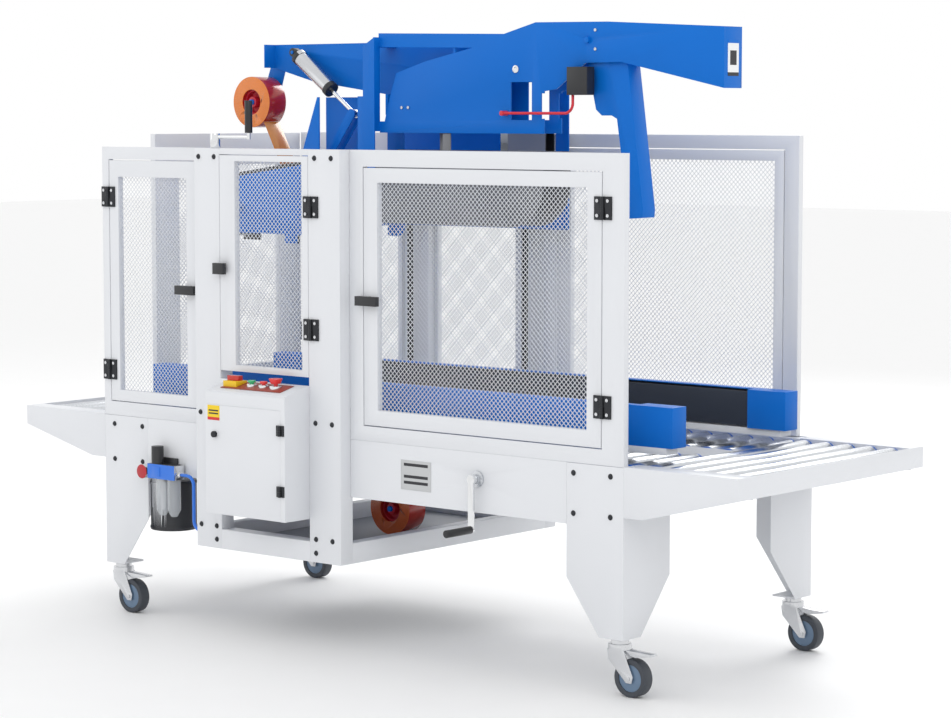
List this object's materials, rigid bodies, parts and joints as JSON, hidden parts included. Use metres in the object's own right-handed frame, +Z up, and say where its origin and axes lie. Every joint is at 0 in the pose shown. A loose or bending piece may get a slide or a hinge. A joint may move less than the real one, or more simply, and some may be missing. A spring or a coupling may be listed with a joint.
{
  "type": "carton sealer machine",
  "caption": "Flap-folding carton sealer with side drive belts, height-adjustable taping head and kicker arm, meshed guards, roller tables and swivel casters",
  "frame": {"origin": "centre of the footprint, on the floor", "axes": "+X along the conveyor from the exit end towards the infeed end, +Y from the control-box side to the lift side, +Z up"},
  "size_m": [2.673, 1.0738, 1.757],
  "materials": {
    "paint_white": "satin powder coat",
    "paint_blue": "satin powder coat",
    "paint_grey": "satin powder coat",
    "roller_steel": "zinc plated",
    "screw_steel": "blackened",
    "crank_steel": "plated",
    "belt_unit": "painted covers on an aluminium rail",
    "drum": "lagged drum",
    "black_plastic": "moulded",
    "isolator": "moulded",
    "red_button": "moulded",
    "green_button": "moulded",
    "cylinder": "anodised",
    "press_steel": "satin",
    "tape": "wound film",
    "tank": "satin",
    "hose": "flexible tube",
    "fork": "zinc plated",
    "tyre": "soft rubber"
  },
  "bodies": {
    "frame": {"air_hose": "hose", "air_tank": "tank", "air_unit": "black_plastic", "bed_frame": "paint_white", "bed_rollers": "roller_steel", "control_bezels": "black_plastic", "control_box": "paint_white", "door_hinges": "screw_steel", "far_guard_frames": "paint_white", "frame_bolts": "screw_steel", "guide_shafts": "roller_steel", "legs": "paint_white", "lower_tape_head": "paint_blue", "near_guard_frames": "paint_white", "side_panels": "paint_white", "table_frames": "paint_white", "table_rollers": "roller_steel", "tower_base": "paint_white", "tower_posts": "paint_white"},
    "near_right_door": {"near_right_door": "paint_white"},
    "near_right_latch": {"near_right_latch": "black_plastic"},
    "near_left_door": {"near_left_door": "paint_white"},
    "near_left_latch": {"near_left_latch": "black_plastic"},
    "tower_door": {"tower_door": "paint_white"},
    "tower_latch": {"tower_latch": "black_plastic"},
    "far_door": {"far_door": "paint_white"},
    "exit_gate": {"exit_gate": "paint_white"},
    "box_door": {"box_door": "paint_white"},
    "isolator_knob": {"isolator_knob": "isolator"},
    "start_button": {"start_button": "green_button"},
    "stop_button": {"stop_button": "red_button"},
    "emergency_button": {"emergency_button": "red_button"},
    "height_crank": {"height_crank": "crank_steel"},
    "lift_screw_left": {"lift_screw_left": "screw_steel"},
    "lift_screw_right": {"lift_screw_right": "screw_steel"},
    "width_crank": {"width_crank": "crank_steel"},
    "near_belt": {"near_belt_unit": "belt_unit"},
    "far_belt": {"far_belt_unit": "belt_unit"},
    "near_drum": {"near_drive_drum": "drum"},
    "far_drum": {"far_drive_drum": "drum"},
    "head": {"head_plates": "paint_blue", "head_carriage": "paint_blue", "flap_wings": "paint_grey", "head_valve": "black_plastic", "upper_tape_head": "paint_blue"},
    "kicker": {"kicker_arm": "paint_blue"},
    "press_cylinder": {"press_cylinder": "cylinder"},
    "press_rod": {"press_rod": "crank_steel"},
    "press_lever": {"press_lever": "press_steel"},
    "tape_arm": {"upper_tape_arm": "press_steel"},
    "upper_roll": {"upper_tape_roll": "tape"},
    "lower_roll": {"lower_tape_roll": "tape"},
    "fork_near_right": {"caster_fork_near_right": "fork"},
    "wheel_near_right": {"caster_wheel_near_right": "tyre"},
    "fork_far_right": {"caster_fork_far_right": "fork"},
    "wheel_far_right": {"caster_wheel_far_right": "tyre"},
    "fork_near_left": {"caster_fork_near_left": "fork"},
    "wheel_near_left": {"caster_wheel_near_left": "tyre"},
    "fork_far_left": {"caster_fork_far_left": "fork"},
    "wheel_far_left": {"caster_wheel_far_left": "tyre"}
  },
  "joints": [
    {"name": "near_right_door_swing", "type": "hinge", "parent": "frame", "child": "near_right_door", "pos_m": [0.911, -0.3903, 1.008], "axis": [0, 0, 1], "range_deg": [0, 105]},
    {"name": "near_left_door_swing", "type": "hinge", "parent": "frame", "child": "near_left_door", "pos_m": [-0.951, -0.3903, 0.997], "axis": [0, 0, -1], "range_deg": [0, 105]},
    {"name": "tower_door_swing", "type": "hinge", "parent": "frame", "child": "tower_door", "pos_m": [-0.081, -0.4303, 1.074], "axis": [0, 0, 1], "range_deg": [0, 105]},
    {"name": "far_door_swing", "type": "hinge", "parent": "frame", "child": "far_door", "pos_m": [0.89, 0.5003, 1.025], "axis": [0, 0, -1], "range_deg": [0, 105]},
    {"name": "exit_gate_swing", "type": "hinge", "parent": "frame", "child": "exit_gate", "pos_m": [-1.0053, 0.4735, 1.025], "axis": [0, 0, -1], "range_deg": [0, 90]},
    {"name": "near_right_latch_turn", "type": "hinge", "parent": "near_right_door", "child": "near_right_latch", "pos_m": [0.104, -0.395, 0.99], "axis": [0, 1, 0], "range_deg": [0, 90]},
    {"name": "near_left_latch_turn", "type": "hinge", "parent": "near_left_door", "child": "near_left_latch", "pos_m": [-0.6, -0.395, 0.99], "axis": [0, 1, 0], "range_deg": [0, 90]},
    {"name": "tower_latch_turn", "type": "hinge", "parent": "tower_door", "child": "tower_latch", "pos_m": [-0.43, -0.435, 1.062], "axis": [0, 1, 0], "range_deg": [0, 90]},
    {"name": "box_door_swing", "type": "hinge", "parent": "frame", "child": "box_door", "pos_m": [-0.108, -0.5293, 0.54], "axis": [0, 0, 1], "range_deg": [0, 110]},
    {"name": "isolator_turn", "type": "hinge", "parent": "frame", "child": "isolator_knob", "pos_m": [-0.343, -0.466, 0.75126], "axis": [0, 0, 1], "range_deg": [0, 90]},
    {"name": "start_press", "type": "slide", "parent": "frame", "child": "start_button", "axis": [0, 0, -1], "range_m": [0, 0.003], "stiffness_N_per_m": 2000, "springref_m": -0.001},
    {"name": "stop_press", "type": "slide", "parent": "frame", "child": "stop_button", "axis": [0, 0, -1], "range_m": [0, 0.003], "stiffness_N_per_m": 2000, "springref_m": -0.001},
    {"name": "emergency_press", "type": "slide", "parent": "frame", "child": "emergency_button", "axis": [0, 0, -1], "range_m": [0, 0.004], "stiffness_N_per_m": 2000, "springref_m": -0.001},
    {"name": "height_crank_turn", "type": "hinge", "parent": "frame", "child": "height_crank", "pos_m": [-0.482, -0.4, 1.437], "axis": [0, 0, 1], "continuous": true},
    {"name": "lift_screw_left_turn", "type": "hinge", "parent": "frame", "child": "lift_screw_left", "pos_m": [-0.4935, 0.458, 0.8], "axis": [0, 0, 1], "continuous": true},
    {"name": "lift_screw_right_turn", "type": "hinge", "parent": "frame", "child": "lift_screw_right", "pos_m": [-0.0325, 0.458, 0.8], "axis": [0, 0, 1], "continuous": true},
    {"name": "width_crank_turn", "type": "hinge", "parent": "frame", "child": "width_crank", "pos_m": [0.49, -0.405, 0.53], "axis": [0, 1, 0], "continuous": true},
    {"name": "near_belt_shift", "type": "slide", "parent": "frame", "child": "near_belt", "axis": [0, 1, 0], "range_m": [-0.06, 0.16]},
    {"name": "far_belt_shift", "type": "slide", "parent": "frame", "child": "far_belt", "axis": [0, -1, 0], "range_m": [-0.06, 0.16]},
    {"name": "near_drum_spin", "type": "hinge", "parent": "near_belt", "child": "near_drum", "pos_m": [-0.887, -0.207, 0.69], "axis": [0, 0, 1], "continuous": true},
    {"name": "far_drum_spin", "type": "hinge", "parent": "far_belt", "child": "far_drum", "pos_m": [-0.887, 0.317, 0.69], "axis": [0, 0, 1], "continuous": true},
    {"name": "head_lift", "type": "slide", "parent": "frame", "child": "head", "axis": [0, 0, 1], "range_m": [-0.38, 0.02]},
    {"name": "kicker_swing", "type": "hinge", "parent": "head", "child": "kicker", "pos_m": [0.549, 0.055, 1.705], "axis": [0, -1, 0], "range_deg": [0, 45]},
    {"name": "press_lever_swing", "type": "hinge", "parent": "head", "child": "press_lever", "pos_m": [-0.47, 0.055, 1.35], "axis": [0, -1, 0], "range_deg": [0, 15]},
    {"name": "press_cylinder_swivel", "type": "hinge", "parent": "head", "child": "press_cylinder", "pos_m": [-0.6, 0.055, 1.687], "axis": [0, -1, 0], "range_deg": [-2, 0.5]},
    {"name": "press_rod_stroke", "type": "slide", "parent": "press_cylinder", "child": "press_rod", "axis": [-0.7969, 0, 0.6042], "range_m": [0, 0.05]},
    {"name": "tape_arm_swing", "type": "hinge", "parent": "head", "child": "tape_arm", "pos_m": [-0.62, 0.055, 1.215], "axis": [0, 1, 0], "range_deg": [0, 10], "stiffness_Nm_per_rad": 8, "springref_deg": -17.19},
    {"name": "upper_roll_spin", "type": "hinge", "parent": "head", "child": "upper_roll", "pos_m": [-0.75, 0.055, 1.538], "axis": [0, 1, 0], "continuous": true},
    {"name": "lower_roll_spin", "type": "hinge", "parent": "frame", "child": "lower_roll", "pos_m": [-0.188, 0.055, 0.34], "axis": [0, 1, 0], "continuous": true},
    {"name": "swivel_near_right", "type": "hinge", "parent": "frame", "child": "fork_near_right", "pos_m": [0.943, -0.349, 0.13], "axis": [0, 0, 1], "continuous": true},
    {"name": "roll_near_right", "type": "hinge", "parent": "fork_near_right", "child": "wheel_near_right", "pos_m": [0.987, -0.349, 0.05], "axis": [0, 1, 0], "continuous": true},
    {"name": "swivel_far_right", "type": "hinge", "parent": "frame", "child": "fork_far_right", "pos_m": [0.943, 0.459, 0.13], "axis": [0, 0, 1], "continuous": true},
    {"name": "roll_far_right", "type": "hinge", "parent": "fork_far_right", "child": "wheel_far_right", "pos_m": [0.987, 0.459, 0.05], "axis": [0, 1, 0], "continuous": true},
    {"name": "swivel_near_left", "type": "hinge", "parent": "frame", "child": "fork_near_left", "pos_m": [-0.943, -0.349, 0.13], "axis": [0, 0, 1], "continuous": true},
    {"name": "roll_near_left", "type": "hinge", "parent": "fork_near_left", "child": "wheel_near_left", "pos_m": [-0.899, -0.349, 0.05], "axis": [0, 1, 0], "continuous": true},
    {"name": "swivel_far_left", "type": "hinge", "parent": "frame", "child": "fork_far_left", "pos_m": [-0.943, 0.459, 0.13], "axis": [0, 0, 1], "continuous": true},
    {"name": "roll_far_left", "type": "hinge", "parent": "fork_far_left", "child": "wheel_far_left", "pos_m": [-0.899, 0.459, 0.05], "axis": [0, 1, 0], "continuous": true}
  ],
  "couplings": [
    {"joint": "far_belt_shift", "follows": "near_belt_shift", "ratio": 1},
    {"joint": "lift_screw_left_turn", "follows": "height_crank_turn", "ratio": 1},
    {"joint": "lift_screw_right_turn", "follows": "height_crank_turn", "ratio": 1},
    {"joint": "press_rod_stroke", "follows": "press_lever_swing", "m_per_rad": 0.18737},
    {"joint": "press_cylinder_swivel", "follows": "press_lever_swing", "ratio": -0.09999}
  ]
}
